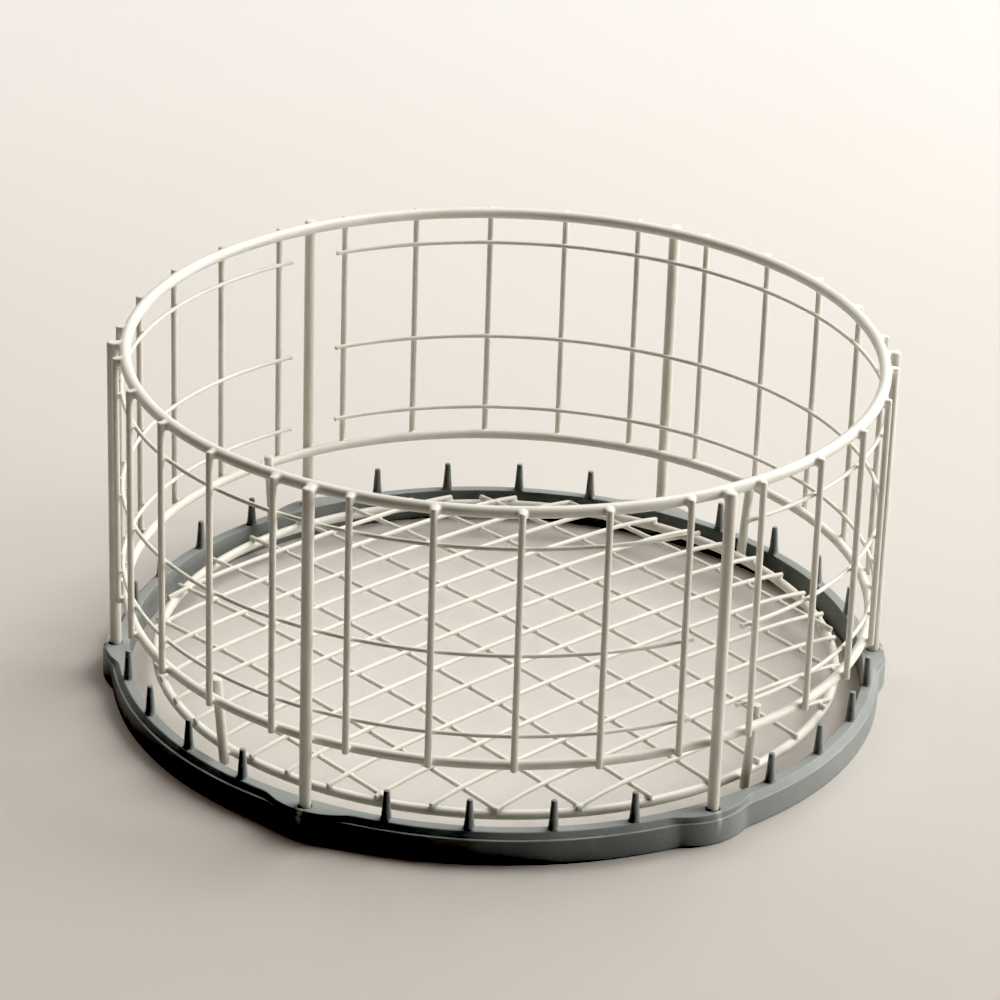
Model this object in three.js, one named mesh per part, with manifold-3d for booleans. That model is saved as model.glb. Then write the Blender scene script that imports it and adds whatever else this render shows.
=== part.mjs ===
// A round basket of plastic-coated welded wire, standing in a moulded plastic ring.
// Millimetres, +Z up. The origin is the centre of the ring's underside, where it meets the table.
// Angles are in degrees, measured from -Y towards +X, so 0 is the front and 90 the right.
import * as THREE from 'three';
import { mergeVertices } from 'three/addons/utils/BufferGeometryUtils.js';
import Module from 'manifold-3d';

const wasm = await Module();
wasm.setup();

// Gap kept between pieces that touch or are welded on the real basket.
const GAP = 0.3;

// Wire gauges, as radii over the coating.
const TOP_RING_WIRE = 3.0;
const LOWER_RING_WIRE = 2.5;
const POST_WIRE = 3.0;
const STRUT_WIRE = 2.5;
const UPRIGHT_WIRE = 1.7;
const HOOP_WIRE = 1.1;
const FLOOR_WIRE = 1.25;

// Moulded ring.
const RING_INNER = 191.5;
const RING_OUTER = 200.0;
const RING_FLAT_OUTER = 197.0;
const RING_RIM_Z = 13.0;
const RING_TOP_Z = 16.5;
const RING_STEPS = 180;
const LOBE_COUNT = 6;
const LOBE_APEX = 204.9;
const LOBE_ARC = 36.0;
const LOBE_LEDGE = 1.0;
const LOBE_BLEND = 1.2;
const SOCKET_FLOOR_Z = 4.2;
const RIM_ROUNDING = 0.2;

// Pegs moulded on the ring.
const PEG_CIRCLE = 194.1;
const PEG_HEIGHT = 15.7;
const PEG_BASE = 2.6;
const PEG_NECK = 1.5;
const PEG_SINK = 1.0;
const PEG_TIP = 1.2;
const PEG_CROWN = { width: 0.9, depth: 0.3 };
const PEG_SIDES = 8;

// Basket wall.
const TOP_RING_RADIUS = 192.0;
const TOP_RING_Z = 184.0;
const WALL_RING_Z = 50.9;
const UPRIGHT_COUNT = 30;
const UPRIGHT_PITCH = 360 / UPRIGHT_COUNT;
const UPRIGHT_LOW_Z = 49.4;
const UPRIGHT_HIGH_Z = 186.0;
const HOOP_HEIGHTS = { upper: 165.9, middle: 110.0, lower: 67.1 };
const HOOP_STUB = 2.0;
const SEAM_ANGLE = 30;
const POST_LOW_Z = SOCKET_FLOOR_Z + GAP;
const POST_HIGH_Z = 186.2;

// Basket floor. It is domed, and was welded in a few degrees out of line with the wall.
const FLOOR_TURN = -4.8;
const FLOOR_RING_RADIUS = 177.0;
const FLOOR_RING_Z = 14.8;
const FLOOR_RISE = 7.5;
const FLOOR_WIRE_OVERHANG = 2.2;
const UPPER_WIRES = { pitch: 23.35, offset: -15.4, first: -6, last: 7, angle: 45 };
const LOWER_WIRES = { pitch: 33.5, offset: -19.9, first: -4, last: 5, angle: -45 };
const LAYER_BITE = 0.5;
const STRUT_LOW_Z = 9.5;
const STRUT_HIGH_Z = 58.5;
const STRUT_COUNT = 4;
const FIRST_STRUT_ANGLE = 45;

// Facets.
const RING_SEGMENTS = 60;
const RING_SIDES = 8;
const HOOP_SEGMENT_ANGLE = 6;
const HOOP_SIDES = 6;
const ROD_SIDES = 8;
const POST_SIDES = 12;
const FLOOR_WIRE_SIDES = 6;
const FLOOR_WIRE_STEPS = 6;
const SOCKET_SIDES = 16;

// Vertices nearer than this are the same vertex.
const MERGE_DISTANCE = 1e-4;

// Radii of the wire circles, worked inwards and outwards from the top ring.
const UPRIGHT_CIRCLE = TOP_RING_RADIUS + TOP_RING_WIRE + UPRIGHT_WIRE + GAP;
const POST_CIRCLE = TOP_RING_RADIUS + TOP_RING_WIRE + POST_WIRE + GAP;
const HOOP_CIRCLE = UPRIGHT_CIRCLE - UPRIGHT_WIRE - HOOP_WIRE - GAP;
const WALL_RING_RADIUS = UPRIGHT_CIRCLE - UPRIGHT_WIRE - LOWER_RING_WIRE - GAP;
const STRUT_TOP_CIRCLE = WALL_RING_RADIUS - LOWER_RING_WIRE - STRUT_WIRE - GAP;
const STRUT_FOOT_CIRCLE = FLOOR_RING_RADIUS + LOWER_RING_WIRE + STRUT_WIRE + GAP;

// Materials.
const coatedWire = new THREE.MeshStandardMaterial({ color: 0xd9d6c9, roughness: 0.38, metalness: 0.0 });
const greyPlastic = new THREE.MeshStandardMaterial({ color: 0x8b9190, roughness: 0.5, metalness: 0.0 });

const basket = new THREE.Group();

function addPiece(name, geometry, material) {
  const mesh = new THREE.Mesh(geometry, material.clone());
  mesh.name = name;
  basket.add(mesh);
  return mesh;
}

// The point at a radius, an angle in degrees from the front, and a height.
function polar(radius, angle, z) {
  const turn = THREE.MathUtils.degToRad(angle);
  return new THREE.Vector3(radius * Math.sin(turn), -radius * Math.cos(turn), z);
}

// A straight round rod between two points.
function rodBetween(start, end, radius, sides) {
  const along = new THREE.Vector3().subVectors(end, start);
  const rod = new THREE.CylinderGeometry(radius, radius, along.length(), sides);
  const turn = new THREE.Quaternion().setFromUnitVectors(
    new THREE.Vector3(0, 1, 0), along.clone().normalize());
  rod.applyQuaternion(turn);
  const middle = new THREE.Vector3().addVectors(start, end).multiplyScalar(0.5);
  rod.translate(middle.x, middle.y, middle.z);
  return rod;
}

// A full circle of wire lying level.
function wireRing(radius, wire, z) {
  const ring = new THREE.TorusGeometry(radius, wire, RING_SIDES, RING_SEGMENTS);
  ring.translate(0, 0, z);
  return ring;
}

// A level arc about the Z axis, from one angle to another.
class LevelArc extends THREE.Curve {
  constructor(radius, from, to, z) {
    super();
    Object.assign(this, { radius, from, to, z });
  }

  getPoint(t, target = new THREE.Vector3()) {
    return target.copy(polar(this.radius, this.from + (this.to - this.from) * t, this.z));
  }
}

// A straight line in plan, whose height follows the dome of the floor.
class DomeLine extends THREE.Curve {
  constructor(start, end, reach) {
    super();
    Object.assign(this, { start, end, reach });
  }

  getPoint(t, target = new THREE.Vector3()) {
    target.lerpVectors(this.start, this.end, t);
    const share = Math.hypot(target.x, target.y) / this.reach;
    target.z += FLOOR_RISE * (1 - share ** 2);
    return target;
  }
}

// A wire of so many sides along a curve.
function wireAlong(path, wire, sides, steps) {
  const section = new THREE.Shape();
  for (let i = 0; i < sides; i += 1) {
    const turn = (i / sides) * 2 * Math.PI;
    section[i ? 'lineTo' : 'moveTo'](wire * Math.cos(turn), wire * Math.sin(turn));
  }
  return new THREE.ExtrudeGeometry(section, { steps, curveSegments: 1, extrudePath: path });
}

// A wire bent to part of a circle.
function wireArc(radius, wire, from, to, z) {
  const steps = Math.round(Math.abs(to - from) / HOOP_SEGMENT_ANGLE);
  return wireAlong(new LevelArc(radius, from, to, z), wire, HOOP_SIDES, steps);
}

// A closed geometry as a manifold solid.
function solidOf(geometry) {
  const bare = geometry.clone();
  bare.deleteAttribute('normal');
  bare.deleteAttribute('uv');
  const merged = mergeVertices(bare, MERGE_DISTANCE);
  return new wasm.Manifold(new wasm.Mesh({
    numProp: 3,
    vertProperties: new Float32Array(merged.attributes.position.array),
    triVerts: new Uint32Array(merged.index.array),
  }));
}

// A manifold solid as a geometry.
function geometryOf(solid) {
  const mesh = solid.getMesh();
  const geometry = new THREE.BufferGeometry();
  geometry.setAttribute('position', new THREE.BufferAttribute(new Float32Array(mesh.vertProperties), 3));
  geometry.setIndex(new THREE.BufferAttribute(new Uint32Array(mesh.triVerts), 1));
  geometry.computeVertexNormals();
  return geometry;
}

// Radius of the ring's outline at an angle: a circle with a shallow round lobe at each post.
function outlineRadius(angle, circle, apex) {
  const spacing = 360 / LOBE_COUNT;
  const fromPost = THREE.MathUtils.euclideanModulo(angle - SEAM_ANGLE + spacing / 2, spacing) - spacing / 2;
  const turn = THREE.MathUtils.degToRad(fromPost);
  const centre = apex - LOBE_ARC;
  const reach = LOBE_ARC ** 2 - (centre * Math.sin(turn)) ** 2;
  if (reach <= 0) {
    return circle;
  }
  const lobe = centre * Math.cos(turn) + Math.sqrt(reach);
  const apart = lobe - circle;
  return (circle + lobe + Math.sqrt(apart ** 2 + LOBE_BLEND ** 2)) / 2;
}

// Cross-section of the moulded ring at an angle, as [radius, height] pairs, anticlockwise.
function ringSection(angle) {
  const wall = outlineRadius(angle, RING_OUTER, LOBE_APEX);
  const top = outlineRadius(angle, RING_FLAT_OUTER, LOBE_APEX - LOBE_LEDGE);
  const step = Math.max(outlineRadius(angle, RING_OUTER - LOBE_LEDGE, LOBE_APEX - LOBE_LEDGE), top);
  return [
    [RING_INNER, 0],
    [wall, 0],
    [wall, RING_RIM_Z],
    [step, RING_RIM_Z + RIM_ROUNDING],
    [top, RING_TOP_Z],
    [RING_INNER, RING_TOP_Z],
  ];
}

// A closed ring swept from its cross-sections.
function sweptRing() {
  const positions = [];
  const faces = [];
  const corners = ringSection(0).length;
  for (let i = 0; i < RING_STEPS; i += 1) {
    const angle = (i / RING_STEPS) * 360;
    for (const [radius, z] of ringSection(angle)) {
      positions.push(...polar(radius, angle, z).toArray());
    }
  }
  for (let i = 0; i < RING_STEPS; i += 1) {
    const here = i * corners;
    const next = ((i + 1) % RING_STEPS) * corners;
    for (let j = 0; j < corners; j += 1) {
      const k = (j + 1) % corners;
      faces.push(here + j, next + j, next + k, here + j, next + k, here + k);
    }
  }
  const geometry = new THREE.BufferGeometry();
  geometry.setAttribute('position', new THREE.Float32BufferAttribute(positions, 3));
  geometry.setIndex(faces);
  return geometry;
}

// One tapered peg with a rounded tip, its foot sunk into the ring.
function peg(angle) {
  const profile = [
    new THREE.Vector2(0, -PEG_SINK),
    new THREE.Vector2(PEG_BASE, -PEG_SINK),
    new THREE.Vector2(PEG_BASE, 0),
    new THREE.Vector2(PEG_NECK, PEG_HEIGHT - PEG_TIP),
    new THREE.Vector2(PEG_CROWN.width, PEG_HEIGHT - PEG_CROWN.depth),
    new THREE.Vector2(0, PEG_HEIGHT),
  ];
  const lathe = new THREE.LatheGeometry(profile, PEG_SIDES);
  lathe.rotateX(Math.PI / 2);
  const place = polar(PEG_CIRCLE, angle, RING_TOP_Z);
  lathe.translate(place.x, place.y, place.z);
  return lathe;
}

// The moulded ring: lobes, post sockets and pegs in one piece.
function mouldedRing() {
  let ring = solidOf(sweptRing());
  for (let i = 0; i < UPRIGHT_COUNT; i += 1) {
    const angle = UPRIGHT_PITCH * (i + 0.5);
    const atPost = THREE.MathUtils.euclideanModulo(angle - SEAM_ANGLE, 360 / LOBE_COUNT) === 0;
    if (!atPost) {
      ring = ring.add(solidOf(peg(angle)));
    }
  }
  for (let i = 0; i < LOBE_COUNT; i += 1) {
    const angle = SEAM_ANGLE + (i * 360) / LOBE_COUNT;
    const socket = rodBetween(
      polar(POST_CIRCLE, angle, SOCKET_FLOOR_Z), polar(POST_CIRCLE, angle, 2 * RING_TOP_Z),
      POST_WIRE + GAP, SOCKET_SIDES);
    ring = ring.subtract(solidOf(socket));
  }
  return geometryOf(ring);
}

// The wires of one floor layer, cut to end on the floor ring. z is their height at the ring.
function floorLayer(layer, z) {
  const turn = THREE.MathUtils.degToRad(layer.angle + FLOOR_TURN);
  const along = new THREE.Vector3(Math.cos(turn), Math.sin(turn), 0);
  const across = new THREE.Vector3(-Math.sin(turn), Math.cos(turn), 0);
  const reach = FLOOR_RING_RADIUS + FLOOR_WIRE_OVERHANG;
  const wires = [];
  for (let i = layer.first; i <= layer.last; i += 1) {
    const shift = layer.offset + i * layer.pitch;
    const half = Math.sqrt(reach ** 2 - shift ** 2);
    const middle = across.clone().multiplyScalar(shift).setZ(z);
    const start = middle.clone().addScaledVector(along, -half);
    const end = middle.clone().addScaledVector(along, half);
    const path = new DomeLine(start, end, reach);
    wires.push(solidOf(wireAlong(path, FLOOR_WIRE, FLOOR_WIRE_SIDES, FLOOR_WIRE_STEPS)));
  }
  return wires;
}

// The welded floor grid: an upper layer of close wires over a lower layer of wide ones.
function floorGrid() {
  const lowZ = FLOOR_RING_Z + LOWER_RING_WIRE + FLOOR_WIRE + GAP;
  const highZ = lowZ + 2 * FLOOR_WIRE - LAYER_BITE;
  const wires = [...floorLayer(LOWER_WIRES, lowZ), ...floorLayer(UPPER_WIRES, highZ)];
  return geometryOf(wires.reduce((grid, wire) => grid.add(wire)));
}

addPiece('base_ring', mouldedRing(), greyPlastic);
addPiece('top_ring', wireRing(TOP_RING_RADIUS, TOP_RING_WIRE, TOP_RING_Z), coatedWire);
addPiece('wall_bottom_ring', wireRing(WALL_RING_RADIUS, LOWER_RING_WIRE, WALL_RING_Z), coatedWire);
addPiece('floor_ring', wireRing(FLOOR_RING_RADIUS, LOWER_RING_WIRE, FLOOR_RING_Z), coatedWire);
addPiece('floor_grid', floorGrid(), coatedWire);

for (let i = 0; i < LOBE_COUNT; i += 1) {
  const angle = SEAM_ANGLE + (i * 360) / LOBE_COUNT;
  const post = rodBetween(
    polar(POST_CIRCLE, angle, POST_LOW_Z), polar(POST_CIRCLE, angle, POST_HIGH_Z), POST_WIRE, POST_SIDES);
  addPiece(`post_${i + 1}`, post, coatedWire);
}

for (let i = 0; i < STRUT_COUNT; i += 1) {
  const angle = FIRST_STRUT_ANGLE + FLOOR_TURN + (i * 360) / STRUT_COUNT;
  const strut = rodBetween(
    polar(STRUT_FOOT_CIRCLE, angle, STRUT_LOW_Z), polar(STRUT_TOP_CIRCLE, angle, STRUT_HIGH_Z),
    STRUT_WIRE, ROD_SIDES);
  addPiece(`strut_${i + 1}`, strut, coatedWire);
}

for (let i = 0; i < UPRIGHT_COUNT; i += 1) {
  const angle = UPRIGHT_PITCH * i;
  const upright = rodBetween(
    polar(UPRIGHT_CIRCLE, angle, UPRIGHT_LOW_Z), polar(UPRIGHT_CIRCLE, angle, UPRIGHT_HIGH_Z),
    UPRIGHT_WIRE, ROD_SIDES);
  addPiece(`upright_${String(i + 1).padStart(2, '0')}`, upright, coatedWire);
}

// Each hoop is two half circles, which stop just past the uprights on either side of the seam posts.
const seamToStub = UPRIGHT_PITCH / 2 - HOOP_STUB;
for (const [height, z] of Object.entries(HOOP_HEIGHTS)) {
  const back = wireArc(HOOP_CIRCLE, HOOP_WIRE, SEAM_ANGLE + seamToStub, SEAM_ANGLE + 180 - seamToStub, z);
  const front = wireArc(HOOP_CIRCLE, HOOP_WIRE, SEAM_ANGLE - 180 + seamToStub, SEAM_ANGLE - seamToStub, z);
  addPiece(`hoop_${height}_back`, back, coatedWire);
  addPiece(`hoop_${height}_front`, front, coatedWire);
}

export default basket;
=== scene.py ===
# The visual model of the round wire basket: coated wire with weld beads, on a bevelled moulding.
# Shapes are worked out in millimetres and written to Blender in metres.
# Angles are in degrees, measured from -Y towards +X, as in the CAD part.
import math

import bmesh
import bpy
import numpy as np
from mathutils import Matrix, Vector


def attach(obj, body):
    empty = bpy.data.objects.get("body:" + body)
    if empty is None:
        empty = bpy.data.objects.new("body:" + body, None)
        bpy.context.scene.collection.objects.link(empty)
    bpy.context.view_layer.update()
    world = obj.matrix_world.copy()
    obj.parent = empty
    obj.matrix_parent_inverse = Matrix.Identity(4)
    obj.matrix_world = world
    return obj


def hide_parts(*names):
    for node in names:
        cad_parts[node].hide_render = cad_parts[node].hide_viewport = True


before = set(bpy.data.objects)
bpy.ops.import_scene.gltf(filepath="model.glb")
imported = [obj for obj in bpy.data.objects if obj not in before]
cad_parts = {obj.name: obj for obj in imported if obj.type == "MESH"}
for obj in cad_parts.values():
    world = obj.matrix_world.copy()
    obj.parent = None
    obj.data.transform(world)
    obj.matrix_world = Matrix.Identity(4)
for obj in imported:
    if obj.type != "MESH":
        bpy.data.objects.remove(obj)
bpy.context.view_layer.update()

rng = np.random.default_rng(20)

MM = 0.001

# Gap that the CAD part keeps between pieces that are welded or touching.
GAP = 0.3

# Wire gauges, as radii over the coating.
TOP_RING_WIRE = 3.0
LOWER_RING_WIRE = 2.5
POST_WIRE = 3.0
STRUT_WIRE = 2.5
UPRIGHT_WIRE = 1.7
HOOP_WIRE = 1.1
FLOOR_WIRE = 1.25

# Moulded ring.
RING_INNER = 191.5
RING_OUTER = 200.0
RING_FLAT_OUTER = 197.0
RING_RIM_Z = 13.0
RING_TOP_Z = 16.5
RING_STEPS = 1440
LOBE_COUNT = 6
LOBE_PITCH = 360 / LOBE_COUNT
LOBE_APEX = 204.9
LOBE_ARC = 36.0
LOBE_LEDGE = 1.0
LOBE_BLEND = 1.2
SOCKET_FLOOR_Z = 4.2
RIM_ROUNDING = 0.2
RING_ROUNDINGS = [0.5, 0.7, 0.4, 0.3, 0.6, 0.5]
SHARP_ANGLE = 32

# Socket mouths, as (extra radius, height over the plate), and the short slits beside them.
SOCKET_MOUTH = [(0.0, -0.9), (0.12, -0.5), (0.35, -0.2), (0.75, 0.0), (0.9, 0.1), (0.9, 4)]
SOCKET_SIDES = 48
SLIT_CIRCLE = 192.9
SLIT_ANGLE = 5.2
SLIT_HALF_LENGTH = 1.7
SLIT_HALF_WIDTH = 0.4
SLIT_DEPTH = 1.8
SLIT_SIDES = 20

# Pegs on the moulded ring.
PEG_CIRCLE = 194.1
PEG_HEIGHT = 15.7
PEG_BASE = 2.6
PEG_NECK = 1.5
PEG_FLARE = 0.7
PEG_FLARE_HEIGHT = 1.6
PEG_TIP = 0.55
PEG_SINK = 1.0
PEG_INNER_MARGIN = 0.3
PEG_OUTER_MARGIN = 0.2
PEG_SIDES = 32

# Basket wall.
TOP_RING_RADIUS = 192.0
TOP_RING_Z = 184.0
WALL_RING_Z = 50.9
UPRIGHT_COUNT = 30
UPRIGHT_PITCH = 360 / UPRIGHT_COUNT
UPRIGHT_LOW_Z = 49.4
UPRIGHT_HIGH_Z = 186.0
UPRIGHT_ROUNDING = 0.9
HOOP_HEIGHTS = {"upper": 165.9, "middle": 110.0, "lower": 67.1}
HOOP_STUB = 2.0
HOOP_END_BULGE = 0.2
HOOP_END_LENGTH = 2.6
SEAM_ANGLE = 30
POST_LOW_Z = SOCKET_FLOOR_Z + GAP
POST_HIGH_Z = 186.2
POST_ROUNDING = 1.3

# Basket floor.
FLOOR_TURN = -4.8
FLOOR_RING_RADIUS = 177.0
FLOOR_RING_Z = 14.8
FLOOR_RISE = 7.5
FLOOR_WIRE_OVERHANG = 2.2
WELD_DEPTH = 0.15
UPPER_WIRES = {"pitch": 23.35, "offset": -15.4, "first": -6, "last": 7, "angle": 45}
LOWER_WIRES = {"pitch": 33.5, "offset": -19.9, "first": -4, "last": 5, "angle": -45}
LOWER_LAYER_Z = FLOOR_RING_Z + LOWER_RING_WIRE + FLOOR_WIRE - WELD_DEPTH
UPPER_LAYER_Z = LOWER_LAYER_Z + 2 * FLOOR_WIRE - 2 * WELD_DEPTH
FLOOR_REACH = FLOOR_RING_RADIUS + FLOOR_WIRE_OVERHANG
FLOOR_WIRE_ROUNDING = 0.45
PRESSED_LENGTH = 38.0
FLOOR_WIRE_STEP = 9.0
FLOOR_WIRE_SIDES = 16
STRUT_LOW_Z = 9.5
STRUT_HIGH_Z = 58.5
STRUT_COUNT = 4
FIRST_STRUT_ANGLE = 45
STRUT_ROUNDING = 0.9

UPRIGHT_CIRCLE = TOP_RING_RADIUS + TOP_RING_WIRE + UPRIGHT_WIRE + GAP
POST_CIRCLE = TOP_RING_RADIUS + TOP_RING_WIRE + POST_WIRE + GAP
HOOP_CIRCLE = UPRIGHT_CIRCLE - UPRIGHT_WIRE - HOOP_WIRE - GAP
WALL_RING_RADIUS = UPRIGHT_CIRCLE - UPRIGHT_WIRE - LOWER_RING_WIRE - GAP
STRUT_TOP_CIRCLE = WALL_RING_RADIUS - LOWER_RING_WIRE - STRUT_WIRE - GAP
STRUT_FOOT_CIRCLE = FLOOR_RING_RADIUS + LOWER_RING_WIRE + STRUT_WIRE + GAP

# Weld beads: radius of the web between the wires, reach of the bead, and step of its mesh.
WELDS = {
    "upright to top ring": (3.0, 7.2, 0.45),
    "upright to wall ring": (1.9, 5.6, 0.42),
    "upright to hoop": (0.9, 3.4, 0.4),
    "post to top ring": (3.2, 8.6, 0.5),
    "post to wall ring": (2.0, 6.8, 0.5),
    "post to hoop": (0.9, 4.0, 0.42),
    "strut to ring": (2.0, 6.6, 0.48),
    "floor crossing": (0.9, 3.0, 0.6),
    "floor wire end": (1.6, 5.2, 0.6),
}
# Each web is up to this share larger or smaller than its entry above.
WELD_SPREAD = 0.12
# Uprights and posts end inside the top ring's height, so their beads sit this far below its middle.
UPRIGHT_BEAD_DROP = 1.0
POST_BEAD_DROP = 0.8
# Half the length of floor wire that a bead is shaped round, at a crossing and at an end.
CROSSING_STRETCH = 4.5
END_STRETCH = 8.0
# Weld beads sit this far under the wires' surface where they don't stand proud of it.
SKIN = 0.05

# Colours, as (place in the noise, colour) or plain colours.
WIRE_TONES = [
    (0.3, (0.735, 0.72, 0.655)), (0.5, (0.775, 0.762, 0.70)), (0.72, (0.81, 0.80, 0.745))]
PLASTIC_TONES = [
    (0.3, (0.29, 0.307, 0.30)), (0.5, (0.325, 0.342, 0.334)), (0.7, (0.355, 0.372, 0.364))]
SCUFFED_PLASTIC = (0.45, 0.465, 0.455)
STRESSED_PLASTIC = (0.62, 0.625, 0.60)
WIRE_IOR = 1.5
PLASTIC_IOR = 1.46

# Camera: degrees, metres, and millimetres for its lens and sensor.
CAMERA_AZIMUTH = 3.01
CAMERA_PITCH = 25.08
CAMERA_ROLL = 1.88
CAMERA_PLACE = (-0.1015, -1.9222, 1.0011)
CAMERA_LENS = 148.7
CAMERA_SENSOR = 36
CAMERA_FAR = 100

# Area lights: place, target, size (metres), power (watts) and colour.
LIGHTS = {
    "key": ((1.75, 1.05, 2.7), (0.05, 0.1, 0.05), 2.8, 100, (1.0, 0.985, 0.955)),
    "side": ((2.5, -0.1, 0.95), (0.0, 0.0, 0.08), 1.2, 30, (1.0, 0.985, 0.955)),
    "fill": ((-1.3, 1.3, 2.2), (0.0, 0.0, 0.05), 2.6, 32, (1.0, 0.95, 0.9)),
}

# Room light, from its dark side to its bright one, and the pale band at the horizon.
ROOM_BRIGHT_SIDE = (0.82, 0.25, 0.5)
ROOM_TONES = [
    (0.0, (0.004, 0.004, 0.003)), (0.5, (0.015, 0.014, 0.012)),
    (0.7, (0.26, 0.25, 0.232)), (0.95, (1.0, 0.97, 0.92))]
ROOM_STRENGTH = 0.8
HORIZON_TONE = (0.34, 0.32, 0.295)
HORIZON_FADE = (0.07, 0.2)

# Table: a painted light falloff makes its tones darker towards the front and paler towards the
# back, and painted light makes it paler inside the ring, where the wires shade it.
TABLE_RADIUS = 20000
TABLE_SIDES = 96
TABLE_PAINTED_FALLOFF_DIRECTION = (0.1, 0.95, 0.0)
TABLE_PAINTED_FALLOFF_SPAN = (-0.6, 1.4)
TABLE_PAINTED_FALLOFF_TONES = [
    (0.0, (0.5, 0.472, 0.438)), (0.4, (0.585, 0.563, 0.535)), (1.0, (0.715, 0.704, 0.693))]
TABLE_MOTTLE = 0.02
TABLE_ROUGHNESS = 0.85
# Painted light inside the ring, making up for the shadow of the wires.
PAINTED_LIGHT_INNER_TONE = (0.78, 0.755, 0.73)
PAINTED_LIGHT_INNER_SHARE = 0.6
PAINTED_LIGHT_INNER_FADE = (0.12, 0.19)

# Scene light up to this level is shown as black, as in a contrasty studio photograph.
BLACK_LEVEL = (0.11, 0.108, 0.097)


def polar(radius, angle, z):
    """The point at this radius, angle and height."""
    turn = math.radians(angle)
    return np.array([radius * math.sin(turn), -radius * math.cos(turn), z])


# ---------------------------------------------------------------- meshes

class Shape:
    """Points and faces that grow into one mesh."""

    def __init__(self):
        self.points = []
        self.faces = []
        self.count = 0

    def add(self, points, faces):
        self.points.append(np.asarray(points, float))
        self.faces.extend((np.asarray(rows) + self.count) for rows in faces if len(rows))
        self.count += len(points)

    def build(self, name, body, slot, replaced, material):
        mesh = bpy.data.meshes.new(name)
        rows = [row for block in self.faces for row in block.tolist()]
        mesh.from_pydata((np.concatenate(self.points) * MM).tolist(), [], rows)
        mesh.polygons.foreach_set("use_smooth", [True] * len(mesh.polygons))
        mesh.materials.append(material)
        mesh.update()
        piece = bpy.data.objects.new(name, mesh)
        bpy.context.scene.collection.objects.link(piece)
        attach(piece, body)
        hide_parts(*replaced)
        return piece


def sweep(centres, across, up, radii, sides, closed=False):
    """Rings of points round a path, joined by quads, with a fan on each open end."""
    turns = np.arange(sides) * 2 * math.pi / sides
    spoke = (np.cos(turns)[None, :, None] * across[:, None, :]
             + np.sin(turns)[None, :, None] * up[:, None, :])
    points = (centres[:, None, :] + radii[:, None, None] * spoke).reshape(-1, 3)
    rings = len(centres)
    here = np.arange(rings if closed else rings - 1)
    near = here[:, None] * sides
    far = ((here + 1) % rings)[:, None] * sides
    j = np.arange(sides)[None, :]
    k = (j + 1) % sides
    quads = np.stack([near + j, near + k, far + k, far + j], -1).reshape(-1, 4)
    faces = [quads]
    if not closed:
        start = len(points)
        end = start + 1
        points = np.vstack([points, centres[0], centres[-1]])
        j = j[0]
        k = k[0]
        last = (rings - 1) * sides
        faces.append(np.stack([np.full(sides, start), k, j], -1))
        faces.append(np.stack([np.full(sides, end), last + j, last + k], -1))
    return points, faces


def end_profile(length, wire, rounding, steps=5):
    """How far along and how wide a cut wire is, from one rounded end to the other."""
    turns = np.linspace(0, math.pi / 2, steps)
    along = rounding * (1 - np.cos(turns))
    width = wire - rounding + rounding * np.sin(turns)
    return np.concatenate([along, length - along[::-1]]), np.concatenate([width, width[::-1]])


def straight_wire(start, end, wire, rounding, sides):
    """A straight wire with rounded ends."""
    length = np.linalg.norm(end - start)
    along = (end - start) / length
    helper = np.array([0.0, 0.0, 1.0]) if abs(along[2]) < 0.9 else np.array([1.0, 0.0, 0.0])
    across = np.cross(helper, along)
    across /= np.linalg.norm(across)
    up = np.cross(along, across)
    places, radii = end_profile(length, wire, rounding)
    centres = start + places[:, None] * along
    count = len(places)
    return sweep(centres, np.tile(across, (count, 1)), np.tile(up, (count, 1)), radii, sides)


def level_frames(radius, angles, z):
    """Centres, outward and upward directions along a level circle."""
    turns = np.radians(angles)
    out = np.stack([np.sin(turns), -np.cos(turns), np.zeros(len(turns))], -1)
    centres = out * radius
    centres[:, 2] = z
    up = np.tile([0.0, 0.0, 1.0], (len(turns), 1))
    return centres, out, up


def wire_circle_tube(radius, wire, z, steps=300, sides=24):
    """A closed level circle of wire."""
    centres, out, up = level_frames(radius, np.arange(steps) * 360 / steps, z)
    return sweep(centres, up, out, np.full(steps, wire), sides, closed=True)


def wire_arc_tube(radius, wire, z, first, last, bulge, bulge_length, sides=16):
    """Part of a circle of wire, slightly swollen and rounded at both ends."""
    length = math.radians(last - first) * radius
    turns = np.linspace(0, math.pi / 2, 6)
    tip = wire * 0.7
    ends = tip * (1 - np.cos(turns))
    neck = tip + np.linspace(0, bulge_length, 6)[1:]
    middle = np.linspace(neck[-1], length - neck[-1], int((last - first) / 1.5))[1:-1]
    places = np.concatenate([ends, neck, middle, length - neck[::-1], length - ends[::-1]])
    from_end = np.minimum(places, length - places)
    nearness = np.clip(1 - from_end / (tip + bulge_length), 0, 1)
    swell = 1 + bulge * nearness ** 2 * (3 - 2 * nearness)
    curve = np.clip(1 - from_end / tip, 0, 1)
    round_off = wire - tip + tip * np.sqrt(np.maximum(1 - curve ** 2, 0))
    centres, out, up = level_frames(radius, first + np.degrees(places / radius), z)
    return sweep(centres, up, out, round_off * swell, sides)


# ---------------------------------------------------------------- distance fields

def circle_field(radius, z, wire):
    """Distance from a level circle of wire."""
    def distance(p):
        return np.hypot(np.hypot(p[:, 0], p[:, 1]) - radius, p[:, 2] - z) - wire
    return distance


def rod_field(start, end, wire, rounding):
    """Distance from a straight wire with rounded ends."""
    length = np.linalg.norm(end - start)
    along = (end - start) / length
    middle = (start + end) / 2

    def distance(p):
        q = p - middle
        t = q @ along
        side = np.linalg.norm(q - t[:, None] * along, axis=1) - (wire - rounding)
        beyond = np.abs(t) - (length / 2 - rounding)
        outside = np.hypot(np.maximum(side, 0), np.maximum(beyond, 0))
        return outside + np.minimum(np.maximum(side, beyond), 0) - rounding
    return distance


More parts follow.
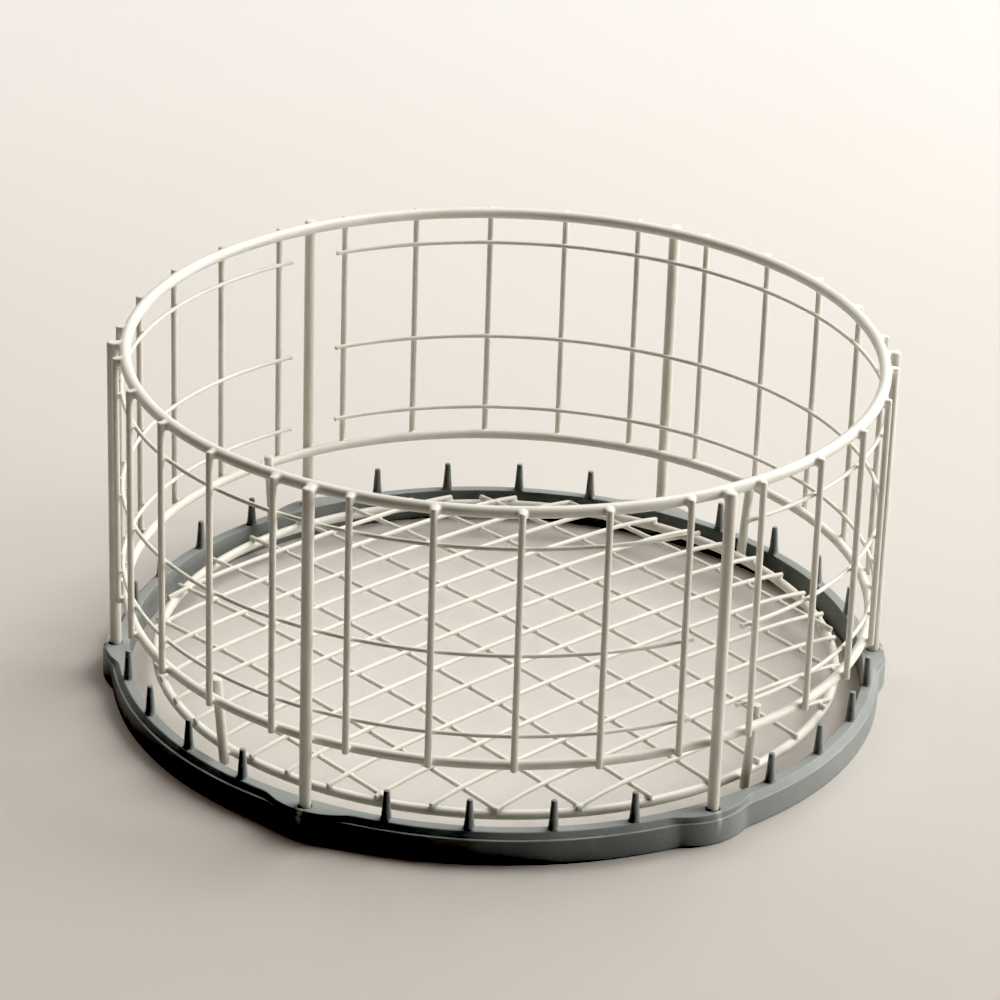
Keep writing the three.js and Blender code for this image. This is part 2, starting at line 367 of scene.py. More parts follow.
def webbed(fields, web):
    """The union of some fields, with a concave web of this radius where they meet."""
    def distance(p):
        whole = fields[0](p)
        for field in fields[1:]:
            other = field(p)
            near = np.maximum(web, np.minimum(whole, other))
            whole = near - np.hypot(np.maximum(web - whole, 0), np.maximum(web - other, 0))
        return whole
    return distance


def surface_net(field, centre, reach, step):
    """Quads on the zero surface of a field inside a ball."""
    def limited(p):
        return np.maximum(field(p) + SKIN, np.linalg.norm(p - centre, axis=1) - reach)

    half = int(math.ceil(reach / step)) + 1
    ticks = np.arange(-half, half + 1) * step
    count = len(ticks)
    grid = np.stack(np.meshgrid(ticks, ticks, ticks, indexing="ij"), -1)
    values = limited(grid.reshape(-1, 3) + centre).reshape(count, count, count)
    cells = count - 1
    total = np.zeros((cells, cells, cells, 3))
    number = np.zeros((cells, cells, cells), int)
    crossings = []
    for axis in range(3):
        low = [slice(None)] * 3
        high = [slice(None)] * 3
        low[axis] = slice(0, -1)
        high[axis] = slice(1, None)
        a = values[tuple(low)]
        b = values[tuple(high)]
        index = np.argwhere((a < 0) != (b < 0))
        at = tuple(index.T)
        share = a[at] / (a[at] - b[at])
        place = grid[at].copy()
        place[:, axis] += share * step
        u = (axis + 1) % 3
        v = (axis + 2) % 3
        around = []
        for back_u, back_v in ((1, 1), (0, 1), (0, 0), (1, 0)):
            cell = index.copy()
            cell[:, u] -= back_u
            cell[:, v] -= back_v
            around.append(cell)
            np.add.at(total, tuple(cell.T), place)
            np.add.at(number, tuple(cell.T), 1)
        crossings.append((around, a[at] < 0))
    used = number > 0
    label = np.full(number.shape, -1)
    label[used] = np.arange(used.sum())
    points = total[used] / number[used][:, None] + centre
    for _ in range(2):
        value = limited(points)
        slope = np.empty_like(points)
        for k in range(3):
            nudge = np.zeros(3)
            nudge[k] = 0.02
            slope[:, k] = (limited(points + nudge) - limited(points - nudge)) / 0.04
        scale = np.maximum((slope ** 2).sum(1), 0.25)
        move = (value / scale)[:, None] * slope
        size = np.linalg.norm(move, axis=1)[:, None]
        points = points - move * np.minimum(1, 0.6 * step / np.maximum(size, 1e-9))
    quads = []
    for around, rising in crossings:
        corners = np.stack([label[tuple(cell.T)] for cell in around], -1)
        quads.append(corners[rising])
        quads.append(corners[~rising][:, ::-1])
    return points, [np.concatenate(quads)]


def weld(fields, centre, kind):
    """One weld bead. Its web varies a little from weld to weld, as dipped coating does."""
    web, reach, step = WELDS[kind]
    varied = web * (1 + WELD_SPREAD * rng.uniform(-1, 1))
    return surface_net(webbed(fields, varied), centre, reach, step)


# ---------------------------------------------------------------- materials

def node_material(name):
    """A new material with only a Principled shader, its node tree and that shader."""
    material = bpy.data.materials.new(name)
    material.use_nodes = True
    tree = material.node_tree
    tree.nodes.clear()
    output = tree.nodes.new("ShaderNodeOutputMaterial")
    shader = tree.nodes.new("ShaderNodeBsdfPrincipled")
    tree.links.new(shader.outputs["BSDF"], output.inputs["Surface"])
    return material, tree, shader


def noise(tree, coordinates, scale, detail, roughness=0.5):
    node = tree.nodes.new("ShaderNodeTexNoise")
    node.inputs["Scale"].default_value = scale
    node.inputs["Detail"].default_value = detail
    node.inputs["Roughness"].default_value = roughness
    tree.links.new(coordinates, node.inputs["Vector"])
    return node.outputs["Fac"]


def ramp(tree, value, stops):
    node = tree.nodes.new("ShaderNodeValToRGB")
    elements = node.color_ramp.elements
    while len(elements) < len(stops):
        elements.new(0.5)
    for element, (place, colour) in zip(elements, stops):
        element.position = place
        element.color = (*colour, 1)
    tree.links.new(value, node.inputs["Fac"])
    return node.outputs["Color"]


def spread(tree, value, low, high, to_low, to_high):
    """The value moved from one range to another, and held inside it."""
    node = tree.nodes.new("ShaderNodeMapRange")
    node.inputs["From Min"].default_value = low
    node.inputs["From Max"].default_value = high
    node.inputs["To Min"].default_value = to_low
    node.inputs["To Max"].default_value = to_high
    tree.links.new(value, node.inputs["Value"])
    return node.outputs["Result"]


def maths(tree, operation, *values):
    node = tree.nodes.new("ShaderNodeMath")
    node.operation = operation
    for socket, value in zip(node.inputs, values):
        if isinstance(value, (int, float)):
            socket.default_value = value
        else:
            tree.links.new(value, socket)
    return node.outputs["Value"]


def mix(tree, factor, first, second):
    node = tree.nodes.new("ShaderNodeMix")
    node.data_type = "RGBA"
    tree.links.new(factor, node.inputs["Factor"])
    for socket, value in ((node.inputs[6], first), (node.inputs[7], second)):
        if isinstance(value, tuple):
            socket.default_value = (*value, 1)
        else:
            tree.links.new(value, socket)
    return node.outputs[2]


def bump(tree, height, strength, distance, under=None):
    node = tree.nodes.new("ShaderNodeBump")
    node.inputs["Strength"].default_value = strength
    node.inputs["Distance"].default_value = distance
    tree.links.new(height, node.inputs["Height"])
    if under is not None:
        tree.links.new(under, node.inputs["Normal"])
    return node.outputs["Normal"]


def object_place(tree):
    return tree.nodes.new("ShaderNodeTexCoord").outputs["Object"]


def coated_wire_material():
    material, tree, shader = node_material("coated_wire")
    place = object_place(tree)
    broad = noise(tree, place, 26, 3)
    colour = ramp(tree, broad, WIRE_TONES)
    tree.links.new(colour, shader.inputs["Base Color"])
    fine = noise(tree, place, 240, 3)
    tree.links.new(spread(tree, fine, 0.3, 0.7, 0.30, 0.42), shader.inputs["Roughness"])
    skin = bump(tree, noise(tree, place, 700, 2), 0.12, 0.0004)
    runs = bump(tree, noise(tree, place, 120, 2), 0.25, 0.0006, skin)
    tree.links.new(runs, shader.inputs["Normal"])
    shader.inputs["IOR"].default_value = WIRE_IOR
    return material


def lobe_streaks(tree, place):
    """Where the plastic is stressed pale: a soft upright streak at the apex of each lobe."""
    axes = tree.nodes.new("ShaderNodeSeparateXYZ")
    tree.links.new(place, axes.inputs["Vector"])
    x, y, z = (axes.outputs[axis] for axis in "XYZ")
    angle = maths(tree, "ARCTAN2", x, maths(tree, "MULTIPLY", y, -1.0))
    half = math.pi / LOBE_COUNT
    turn = maths(tree, "SUBTRACT", angle, math.radians(SEAM_ANGLE))
    from_post = maths(tree, "ABSOLUTE", maths(tree, "WRAP", turn, half, -half))
    beside = spread(tree, from_post, 0.002, 0.0115, 1.0, 0.0)
    squares = maths(tree, "ADD", maths(tree, "MULTIPLY", x, x), maths(tree, "MULTIPLY", y, y))
    radius = maths(tree, "SQRT", squares)
    outside = spread(tree, radius, 0.2010, 0.2022, 0.0, 1.0)
    upward = spread(tree, z, 0.0045, 0.0125, 0.0, 1.0)
    patchy = spread(tree, noise(tree, place, 500, 3), 0.25, 0.7, 0.35, 0.85)
    return maths(tree, "MULTIPLY", maths(tree, "MULTIPLY", beside, outside),
                 maths(tree, "MULTIPLY", upward, patchy))


def ring_plastic_material():
    material, tree, shader = node_material("ring_plastic")
    place = object_place(tree)
    broad = noise(tree, place, 18, 4)
    colour = ramp(tree, broad, PLASTIC_TONES)
    scuffs = noise(tree, place, 420, 5, 0.7)
    worn = spread(tree, scuffs, 0.56, 0.74, 0.0, 0.35)
    colour = mix(tree, worn, colour, SCUFFED_PLASTIC)
    colour = mix(tree, lobe_streaks(tree, place), colour, STRESSED_PLASTIC)
    tree.links.new(colour, shader.inputs["Base Color"])
    cloudy = noise(tree, place, 90, 4)
    tree.links.new(spread(tree, cloudy, 0.3, 0.7, 0.40, 0.56), shader.inputs["Roughness"])
    grain = bump(tree, noise(tree, place, 1500, 3, 0.6), 0.3, 0.00025)
    tree.links.new(grain, shader.inputs["Normal"])
    shader.inputs["IOR"].default_value = PLASTIC_IOR
    return material


WIRE = coated_wire_material()
PLASTIC = ring_plastic_material()


# ---------------------------------------------------------------- moulded ring

def outline(angles, circle, apex):
    """Radius of the ring's outline: a circle with a shallow round lobe at each post."""
    from_post = np.mod(angles - SEAM_ANGLE + LOBE_PITCH / 2, LOBE_PITCH) - LOBE_PITCH / 2
    turn = np.radians(from_post)
    centre = apex - LOBE_ARC
    reach = LOBE_ARC ** 2 - (centre * np.sin(turn)) ** 2
    lobe = centre * np.cos(turn) + np.sqrt(np.maximum(reach, 0))
    apart = lobe - circle
    joined = (circle + lobe + np.sqrt(apart ** 2 + LOBE_BLEND ** 2)) / 2
    return np.where(reach > 0, joined, circle)


def rounded_section(corners, amounts, steps=4):
    """Corners of shape (angles, corners, 2), each rounded off by its amount."""
    count = corners.shape[1]
    share = np.linspace(0, 1, steps + 1)[None, :, None]
    parts = []
    for j in range(count):
        corner = corners[:, j]
        before = corners[:, j - 1] - corner
        after = corners[:, (j + 1) % count] - corner
        sides = []
        for arm in (before, after):
            length = np.linalg.norm(arm, axis=1)[:, None]
            sides.append(corner + arm / length * np.minimum(amounts[j], 0.45 * length))
        a = sides[0][:, None, :]
        b = sides[1][:, None, :]
        middle = corner[:, None, :]
        parts.append((1 - share) ** 2 * a + 2 * share * (1 - share) * middle + share ** 2 * b)
    return np.concatenate(parts, axis=1)


def ring_shape():
    """The ring before it is cut: a rounded section carried round the outline."""
    angles = np.arange(RING_STEPS) * 360 / RING_STEPS
    wall = outline(angles, RING_OUTER, LOBE_APEX)
    top = outline(angles, RING_FLAT_OUTER, LOBE_APEX - LOBE_LEDGE)
    ledge = np.maximum(outline(angles, RING_OUTER - LOBE_LEDGE, LOBE_APEX - LOBE_LEDGE), top)
    level = np.ones(RING_STEPS)
    corners = np.stack([
        np.stack([RING_INNER * level, 0 * level], -1),
        np.stack([wall, 0 * level], -1),
        np.stack([wall, RING_RIM_Z * level], -1),
        np.stack([ledge, (RING_RIM_Z + RIM_ROUNDING) * level], -1),
        np.stack([top, RING_TOP_Z * level], -1),
        np.stack([RING_INNER * level, RING_TOP_Z * level], -1),
    ], axis=1)
    section = rounded_section(corners, RING_ROUNDINGS)
    turns = np.radians(angles)
    out = np.stack([np.sin(turns), -np.cos(turns)], -1)
    flat = out[:, None, :] * section[:, :, :1]
    points = np.concatenate([flat, section[:, :, 1:]], axis=2).reshape(-1, 3)
    count = section.shape[1]
    near = (np.arange(RING_STEPS) * count)[:, None]
    far = (((np.arange(RING_STEPS) + 1) % RING_STEPS) * count)[:, None]
    j = np.arange(count)[None, :]
    k = (j + 1) % count
    quads = np.stack([near + j, far + j, far + k, near + k], -1).reshape(-1, 4)
    return points, [quads]


def lathe(profile, sides, place, squeeze=None):
    """A closed turned solid; profile is (radius, height), from bottom to top."""
    profile = np.array(profile, float)
    turns = np.arange(sides) * 2 * math.pi / sides
    ring = np.stack([np.cos(turns), np.sin(turns)], -1)
    points = np.concatenate([
        np.concatenate([ring * radius, np.full((sides, 1), z)], axis=1) for radius, z in profile])
    rows = np.arange(len(profile) - 1)[:, None] * sides
    j = np.arange(sides)[None, :]
    k = (j + 1) % sides
    quads = np.stack([rows + j, rows + k, rows + sides + k, rows + sides + j], -1).reshape(-1, 4)
    bottom = len(points)
    points = np.vstack([points, [0, 0, profile[0, 1]], [0, 0, profile[-1, 1]]])
    last = (len(profile) - 1) * sides
    fans = [np.stack([np.full(sides, bottom), k[0], j[0]], -1),
            np.stack([np.full(sides, bottom + 1), last + j[0], last + k[0]], -1)]
    if squeeze is not None:
        points = squeeze(points)
    return points + np.array(place), [quads, *fans]


def peg_points(angle):
    """One tapered peg: a small flared foot, a straight taper and a flat rounded tip."""
    flare = [(PEG_BASE + PEG_FLARE * (1 - h / PEG_FLARE_HEIGHT) ** 2, h)
             for h in np.linspace(0, PEG_FLARE_HEIGHT, 6)]
    taper = [(PEG_BASE + (PEG_NECK - PEG_BASE) * h / PEG_HEIGHT, h)
             for h in np.linspace(PEG_FLARE_HEIGHT, PEG_HEIGHT - PEG_TIP, 5)[1:]]
    width = taper[-1][0]
    crown = [(width - PEG_TIP + PEG_TIP * math.cos(t), PEG_HEIGHT - PEG_TIP + PEG_TIP * math.sin(t))
             for t in np.linspace(0, math.pi / 2, 6)[1:]]
    profile = [(PEG_BASE + PEG_FLARE, -PEG_SINK), *flare, *taper, *crown]
    turn = math.radians(angle)
    out = np.array([math.sin(turn), -math.cos(turn), 0.0])
    side = np.array([math.cos(turn), math.sin(turn), 0.0])
    inner = RING_INNER + PEG_INNER_MARGIN - PEG_CIRCLE
    outer = RING_FLAT_OUTER - PEG_OUTER_MARGIN - PEG_CIRCLE

    def squeeze(points):
        radial = np.clip(points[:, 0], inner, outer)
        return radial[:, None] * out + points[:, 1:2] * side + points[:, 2:] * [[0.0, 0.0, 1.0]]
    place = polar(PEG_CIRCLE, angle, RING_TOP_Z)
    return lathe(profile, PEG_SIDES, place, squeeze)


def plain_object(name, points, faces):
    """A mesh object in the scene, with no material and riding on nothing."""
    mesh = bpy.data.meshes.new(name)
    mesh.from_pydata((points * MM).tolist(), [], [row for block in faces for row in block.tolist()])
    mesh.update()
    item = bpy.data.objects.new(name, mesh)
    bpy.context.scene.collection.objects.link(item)
    return item


def socket_cutter(angle):
    """The blind bore that a post stands in, with an eased mouth."""
    wide = POST_WIRE + GAP
    profile = [(wide, SOCKET_FLOOR_Z)]
    profile += [(wide + extra, RING_TOP_Z + over) for extra, over in SOCKET_MOUTH]
    return lathe(profile, SOCKET_SIDES, polar(POST_CIRCLE, angle, 0))


def slit_cutter(angle):
    """A short flat slit in the plate, lying along the ring."""
    middle = polar(SLIT_CIRCLE, angle, RING_TOP_Z)
    turn = math.radians(angle)
    out = np.array([math.sin(turn), -math.cos(turn), 0.0])
    side = np.array([math.cos(turn), math.sin(turn), 0.0])
    ends = np.linspace(0, 2 * math.pi, SLIT_SIDES, endpoint=False)
    length = SLIT_HALF_LENGTH * np.sign(np.cos(ends)) + SLIT_HALF_WIDTH * np.cos(ends)
    width = SLIT_HALF_WIDTH * np.sin(ends)
    ring = length[:, None] * side + width[:, None] * out
    low = ring + middle + [0, 0, -SLIT_DEPTH]
    high = ring + middle + [0, 0, 1.0]
    count = len(ring)
    j = np.arange(count)
    k = (j + 1) % count
    sides = np.stack([j, k, count + k, count + j], -1)
    caps = [np.array([j[::-1]]), np.array([count + j])]
    return np.vstack([low, high]), [sides, *caps]


def mark_sharp(mesh, limit):
    """Smooth faces, with an edge kept sharp where its faces turn by more than the limit."""
    work = bmesh.new()
    work.from_mesh(mesh)
    for edge in work.edges:
        edge.smooth = len(edge.link_faces) == 2 and edge.calc_face_angle(0) < math.radians(limit)
    for face in work.faces:
        face.smooth = True
    work.to_mesh(mesh)
    work.free()


def build_ring():
    """The moulded ring with its sockets and slits cut and its pegs added, as one mesh."""
    ring = plain_object("ring_body", *ring_shape())
    cutters = Shape()
    for i in range(LOBE_COUNT):
        angle = SEAM_ANGLE + i * LOBE_PITCH
        cutters.add(*socket_cutter(angle))
        for side in (-SLIT_ANGLE, SLIT_ANGLE):
            cutters.add(*slit_cutter(angle + side))
    cutter = plain_object("cutters", np.concatenate(cutters.points), cutters.faces)
    cut = ring.modifiers.new("cut", "BOOLEAN")
    cut.operation = "DIFFERENCE"
    cut.solver = "EXACT"
    cut.object = cutter
    graph = bpy.context.evaluated_depsgraph_get()
    mesh = bpy.data.meshes.new_from_object(ring.evaluated_get(graph))
    bpy.data.objects.remove(ring)
    bpy.data.objects.remove(cutter)
    pegs = Shape()
    for i in range(UPRIGHT_COUNT):
        angle = UPRIGHT_PITCH * (i + 0.5)
        if (angle - SEAM_ANGLE) % LOBE_PITCH:
            pegs.add(*peg_points(angle))
    extra = plain_object("pegs", np.concatenate(pegs.points), pegs.faces)
    work = bmesh.new()
    work.from_mesh(mesh)
    work.from_mesh(extra.data)
    work.to_mesh(mesh)
    work.free()
    bpy.data.objects.remove(extra)
    mark_sharp(mesh, SHARP_ANGLE)
    mesh.name = "ring_moulding"
    mesh.materials.clear()
    mesh.materials.append(PLASTIC)
    piece = bpy.data.objects.new("ring_moulding", mesh)
    bpy.context.scene.collection.objects.link(piece)
    weighted = piece.modifiers.new("weighted", "WEIGHTED_NORMAL")
    weighted.keep_sharp = True
    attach(piece, "ring")
    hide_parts("base_ring")


build_ring()

# ---------------------------------------------------------------- basket

TOP_FIELD = circle_field(TOP_RING_RADIUS, TOP_RING_Z, TOP_RING_WIRE)
WALL_FIELD = circle_field(WALL_RING_RADIUS, WALL_RING_Z, LOWER_RING_WIRE)
FLOOR_FIELD = circle_field(FLOOR_RING_RADIUS, FLOOR_RING_Z, LOWER_RING_WIRE)


def basket_piece(shape, name, *replaced):
    return shape.build(name, "basket", "coated_wire", replaced, WIRE)


def build_circle(name, node, radius, wire, z):
    shape = Shape()
    shape.add(*wire_circle_tube(radius, wire, z))
    basket_piece(shape, name, node)


build_circle("top_wire_ring", "top_ring", TOP_RING_RADIUS, TOP_RING_WIRE, TOP_RING_Z)
build_circle("wall_wire_ring", "wall_bottom_ring", WALL_RING_RADIUS, LOWER_RING_WIRE, WALL_RING_Z)
build_circle("floor_wire_ring", "floor_ring", FLOOR_RING_RADIUS, LOWER_RING_WIRE, FLOOR_RING_Z)


def build_upright(i):
    """One upright of the wall, with its beads to the rings and hoops."""
    angle = UPRIGHT_PITCH * i
    low = polar(UPRIGHT_CIRCLE, angle, UPRIGHT_LOW_Z)
    high = polar(UPRIGHT_CIRCLE, angle, UPRIGHT_HIGH_Z)
    shape = Shape()
    shape.add(*straight_wire(low, high, UPRIGHT_WIRE, UPRIGHT_ROUNDING, 20))
    rod = rod_field(low, high, UPRIGHT_WIRE, UPRIGHT_ROUNDING)
    middle = (TOP_RING_RADIUS + TOP_RING_WIRE + UPRIGHT_CIRCLE - UPRIGHT_WIRE) / 2
    at_top = polar(middle, angle, TOP_RING_Z - UPRIGHT_BEAD_DROP)
    shape.add(*weld([TOP_FIELD, rod], at_top, "upright to top ring"))
    shape.add(*weld([WALL_FIELD, rod], polar(middle, angle, WALL_RING_Z), "upright to wall ring"))
    for z in HOOP_HEIGHTS.values():
        hoop = circle_field(HOOP_CIRCLE, z, HOOP_WIRE)
        shape.add(*weld([hoop, rod], polar(middle, angle, z), "upright to hoop"))
    number = f"{i + 1:02d}"
    basket_piece(shape, f"upright_wire_{number}", f"upright_{number}")


for i in range(UPRIGHT_COUNT):
    build_upright(i)


def build_post(i):
    """One post. The two at the hoops' seams have no hoop to be welded to."""
    angle = SEAM_ANGLE + i * LOBE_PITCH
    low = polar(POST_CIRCLE, angle, POST_LOW_Z)
    high = polar(POST_CIRCLE, angle, POST_HIGH_Z)
    shape = Shape()
    shape.add(*straight_wire(low, high, POST_WIRE, POST_ROUNDING, 24))
    rod = rod_field(low, high, POST_WIRE, POST_ROUNDING)
    middle = (TOP_RING_RADIUS + TOP_RING_WIRE + POST_CIRCLE - POST_WIRE) / 2
    at_top = polar(middle, angle, TOP_RING_Z - POST_BEAD_DROP)
    shape.add(*weld([TOP_FIELD, rod], at_top, "post to top ring"))
    shape.add(*weld([WALL_FIELD, rod], polar(middle, angle, WALL_RING_Z), "post to wall ring"))
    if (angle - SEAM_ANGLE) % 180:
        for z in HOOP_HEIGHTS.values():
            hoop = circle_field(HOOP_CIRCLE, z, HOOP_WIRE)
            shape.add(*weld([hoop, rod], polar(middle, angle, z), "post to hoop"))
    basket_piece(shape, f"post_wire_{i + 1}", f"post_{i + 1}")


for i in range(LOBE_COUNT):
    build_post(i)


def build_strut(i):
    """One leaning strut between the floor ring and the wall's bottom ring."""
    angle = FIRST_STRUT_ANGLE + FLOOR_TURN + i * 360 / STRUT_COUNT
    low = polar(STRUT_FOOT_CIRCLE, angle, STRUT_LOW_Z)
    high = polar(STRUT_TOP_CIRCLE, angle, STRUT_HIGH_Z)
    shape = Shape()
    shape.add(*straight_wire(low, high, STRUT_WIRE, STRUT_ROUNDING, 24))
    rod = rod_field(low, high, STRUT_WIRE, STRUT_ROUNDING)
    inner = polar(FLOOR_RING_RADIUS + LOWER_RING_WIRE, angle, FLOOR_RING_Z)
    outer = polar(WALL_RING_RADIUS - LOWER_RING_WIRE, angle, WALL_RING_Z)
    shape.add(*weld([FLOOR_FIELD, rod], inner, "strut to ring"))
    shape.add(*weld([WALL_FIELD, rod], outer, "strut to ring"))
    basket_piece(shape, f"strut_wire_{i + 1}", f"strut_{i + 1}")


for i in range(STRUT_COUNT):
    build_strut(i)

seam_to_stub = UPRIGHT_PITCH / 2 - HOOP_STUB
HALVES = {
    "back": (SEAM_ANGLE + seam_to_stub, SEAM_ANGLE + 180 - seam_to_stub),
    "front": (SEAM_ANGLE - 180 + seam_to_stub, SEAM_ANGLE - seam_to_stub),
}
for height, z in HOOP_HEIGHTS.items():
    for half, (first, last) in HALVES.items():
        shape = Shape()
        shape.add(*wire_arc_tube(
            HOOP_CIRCLE, HOOP_WIRE, z, first, last, HOOP_END_BULGE, HOOP_END_LENGTH))
        basket_piece(shape, f"hoop_wire_{height}_{half}", f"hoop_{height}_{half}")


class FloorWire:
    """A floor wire that follows the dome, with its ends pressed down onto the floor ring."""

    def __init__(self, middle, along, half, z):
        self.start = middle - along * half
        self.along = along
        self.length = 2 * half
        self.drop = z - LOWER_LAYER_Z

    def at(self, places):
        """Points on the wire's centre line, at these distances from its start."""
        places = np.atleast_1d(places)
        near = np.clip(np.minimum(places, self.length - places) / PRESSED_LENGTH, 0, 1)
        points = self.start + places[:, None] * self.along
        share = np.hypot(points[:, 0], points[:, 1]) / FLOOR_REACH
        points[:, 2] += FLOOR_RISE * (1 - share ** 2) - self.drop * (1 - near) ** 2
        return points

    def tube(self):
        ends, radii = end_profile(self.length, FLOOR_WIRE, FLOOR_WIRE_ROUNDING)
        middle = np.linspace(0, self.length, int(self.length / FLOOR_WIRE_STEP))[1:-1]
        half = len(ends) // 2
        places = np.concatenate([ends[:half], middle, ends[half:]])
        widths = np.concatenate([radii[:half], np.full(len(middle), FLOOR_WIRE), radii[half:]])
        count = len(places)
        across = np.tile([-self.along[1], self.along[0], 0.0], (count, 1))
        up = np.tile([0.0, 0.0, 1.0], (count, 1))
        return sweep(self.at(places), across, up, widths, FLOOR_WIRE_SIDES)

    def field(self, place, reach):
        """Distance from the stretch of wire within reach of a place along it."""
        places = np.clip(place + np.linspace(-reach, reach, 7), 0, self.length)
        points = self.at(np.unique(places))
        stretches = []
        for low, high in zip(points[:-1], points[1:]):
            overlap = (high - low) / np.linalg.norm(high - low) * 0.3
            at_start = np.allclose(low, self.at(0)[0])
            at_end = np.allclose(high, self.at(self.length)[0])
            stretches.append(rod_field(
                low if at_start else low - overlap, high if at_end else high + overlap,
                FLOOR_WIRE, FLOOR_WIRE_ROUNDING if at_start or at_end else 0.0))

        def distance(p):
            return np.min([stretch(p) for stretch in stretches], axis=0)
        return distance


def floor_layer(layer, z):
    """The wires of one floor layer."""
    turn = math.radians(layer["angle"] + FLOOR_TURN)
    along = np.array([math.cos(turn), math.sin(turn), 0.0])
    across = np.array([-math.sin(turn), math.cos(turn), 0.0])
    wires = []
    for i in range(layer["first"], layer["last"] + 1):
        shift = layer["offset"] + i * layer["pitch"]
        half = math.sqrt(FLOOR_REACH ** 2 - shift ** 2)
        wires.append(FloorWire(across * shift + [0, 0, z], along, half, z))
    return wires


def crossing(first, second):
    """How far along each of two floor wires they cross."""
    flat = np.array([first.along[:2], -second.along[:2]]).T
    return np.linalg.solve(flat, (second.start - first.start)[:2])


def build_floor():
    """Both layers of floor wires, with a bead at each crossing and at each end."""
    shape = Shape()
    lower = floor_layer(LOWER_WIRES, LOWER_LAYER_Z)
    upper = floor_layer(UPPER_WIRES, UPPER_LAYER_Z)
    for wire in lower + upper:
        shape.add(*wire.tube())
    for low in lower:
        for high in upper:
            on_low, on_high = crossing(low, high)
            centre = (low.at(on_low)[0] + high.at(on_high)[0]) / 2
            if np.hypot(centre[0], centre[1]) < FLOOR_REACH - 0.3:
                fields = [
                    low.field(on_low, CROSSING_STRETCH), high.field(on_high, CROSSING_STRETCH)]
                shape.add(*weld(fields, centre, "floor crossing"))
    for wire in lower + upper:
        for place in (0.0, wire.length):
            tip = wire.at(place)[0]
            inward = FLOOR_RING_RADIUS / FLOOR_REACH
            foot = np.array([tip[0] * inward, tip[1] * inward, FLOOR_RING_Z + LOWER_RING_WIRE])
            shape.add(*weld([wire.field(place, END_STRETCH), FLOOR_FIELD], foot, "floor wire end"))
    basket_piece(shape, "floor_wires", "floor_grid")


build_floor()

# ---------------------------------------------------------------- camera, floor and light

def build_camera():
    azimuth, pitch, roll = map(math.radians, (CAMERA_AZIMUTH, CAMERA_PITCH, CAMERA_ROLL))
    forward = Vector((
        math.sin(azimuth) * math.cos(pitch), math.cos(azimuth) * math.cos(pitch), -math.sin(pitch)))
    right = Vector((math.cos(azimuth), -math.sin(azimuth), 0))
    up = right.cross(forward)
    x = right * math.cos(roll) + up * math.sin(roll)
    y = up * math.cos(roll) - right * math.sin(roll)
    turn = Matrix((x, y, -forward)).transposed().to_4x4()
    data = bpy.data.cameras.new("camera")
    data.lens = CAMERA_LENS
    data.sensor_width = CAMERA_SENSOR
    data.clip_end = CAMERA_FAR
    camera = bpy.data.objects.new("camera", data)
    camera.matrix_world = Matrix.Translation(Vector(CAMERA_PLACE)) @ turn
    bpy.context.scene.collection.objects.link(camera)
    bpy.context.scene.camera = camera


def area_light(name, place, target, size, power, colour):
    data = bpy.data.lights.new(name, "AREA")
    data.shape = "DISK"
    data.size = size
    data.energy = power
    data.color = colour
    lamp = bpy.data.objects.new(name, data)
    lamp.location = place
    aim = Vector(target) - Vector(place)
    lamp.rotation_euler = aim.to_track_quat("-Z", "Y").to_euler()
    bpy.context.scene.collection.objects.link(lamp)


def painted_light_inside_ring(tree, place, colour):
    """Painted light: the table is a little paler inside the ring, making up for the shadow that the
    wires cast there.
    """
    distance = tree.nodes.new("ShaderNodeVectorMath")
    distance.operation = "LENGTH"
    tree.links.new(place, distance.inputs[0])
    share = spread(tree, distance.outputs["Value"], *PAINTED_LIGHT_INNER_FADE, PAINTED_LIGHT_INNER_SHARE, 0.0)
    return mix(tree, share, colour, PAINTED_LIGHT_INNER_TONE)


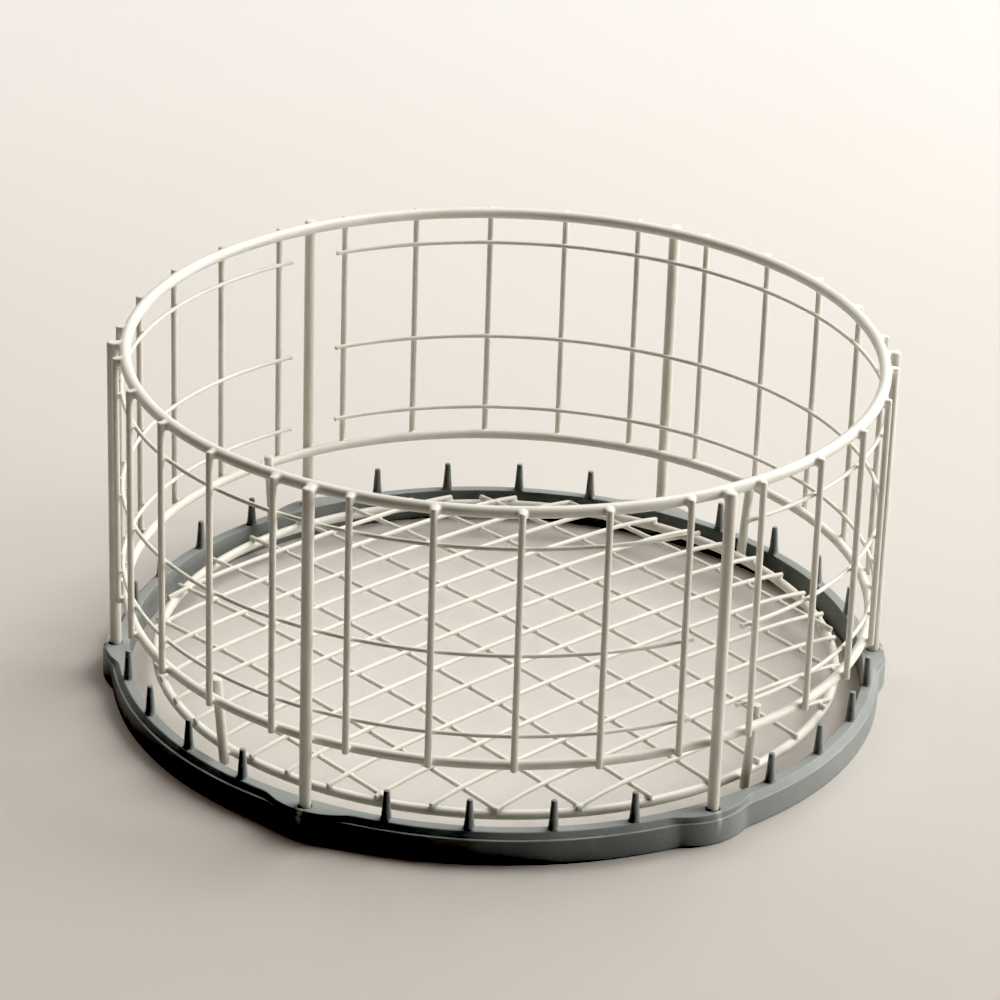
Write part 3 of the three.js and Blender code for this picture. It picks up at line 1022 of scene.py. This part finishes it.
def build_room():
    """Light from a room that is bright behind and to the right, pale at the horizon."""
    world = bpy.data.worlds.new("room")
    bpy.context.scene.world = world
    world.use_nodes = True
    tree = world.node_tree
    background = tree.nodes["Background"]
    direction = tree.nodes.new("ShaderNodeTexCoord").outputs["Generated"]
    toward = tree.nodes.new("ShaderNodeVectorMath")
    toward.operation = "DOT_PRODUCT"
    toward.inputs[1].default_value = Vector(ROOM_BRIGHT_SIDE).normalized()
    tree.links.new(direction, toward.inputs[0])
    glow = ramp(tree, spread(tree, toward.outputs["Value"], -1, 1, 0, 1), ROOM_TONES)
    height = tree.nodes.new("ShaderNodeSeparateXYZ")
    tree.links.new(direction, height.inputs[0])
    band = spread(tree, height.outputs["Z"], *HORIZON_FADE, 1.0, 0.0)
    tree.links.new(mix(tree, band, glow, HORIZON_TONE), background.inputs["Color"])
    background.inputs["Strength"].default_value = ROOM_STRENGTH


def build_stage():
    """The table, the room, the lights and the contrast of the picture."""
    material, tree, shader = node_material("table")
    place = object_place(tree)
    # Painted light falloff: the table's colour is darker towards the front and paler towards the
    # back.
    across = tree.nodes.new("ShaderNodeVectorMath")
    across.operation = "DOT_PRODUCT"
    across.inputs[1].default_value = TABLE_PAINTED_FALLOFF_DIRECTION
    tree.links.new(place, across.inputs[0])
    mottle = spread(tree, noise(tree, place, 3, 3), 0.3, 0.7, -TABLE_MOTTLE, TABLE_MOTTLE)
    painted_falloff = maths(tree, "ADD", spread(tree, across.outputs["Value"], *TABLE_PAINTED_FALLOFF_SPAN, 0, 1), mottle)
    colour = ramp(tree, painted_falloff, TABLE_PAINTED_FALLOFF_TONES)
    # Painted light: the table is paler inside the ring, against the wires' shadow.
    tree.links.new(painted_light_inside_ring(tree, place, colour), shader.inputs["Base Color"])
    shader.inputs["Roughness"].default_value = TABLE_ROUGHNESS
    order = np.arange(TABLE_SIDES)
    turns = order * 2 * math.pi / TABLE_SIDES
    rim = np.stack(
        [np.cos(turns) * TABLE_RADIUS, np.sin(turns) * TABLE_RADIUS, np.zeros(TABLE_SIDES)], -1)
    table = plain_object("table", rim, [np.array([order])])
    table.data.materials.append(material)
    build_room()
    for name, settings in LIGHTS.items():
        area_light(name, *settings)
    view = bpy.context.scene.view_settings
    view.view_transform = "Standard"
    view.use_curve_mapping = True
    view.curve_mapping.black_level = BLACK_LEVEL
    view.curve_mapping.update()


build_camera()
build_stage()
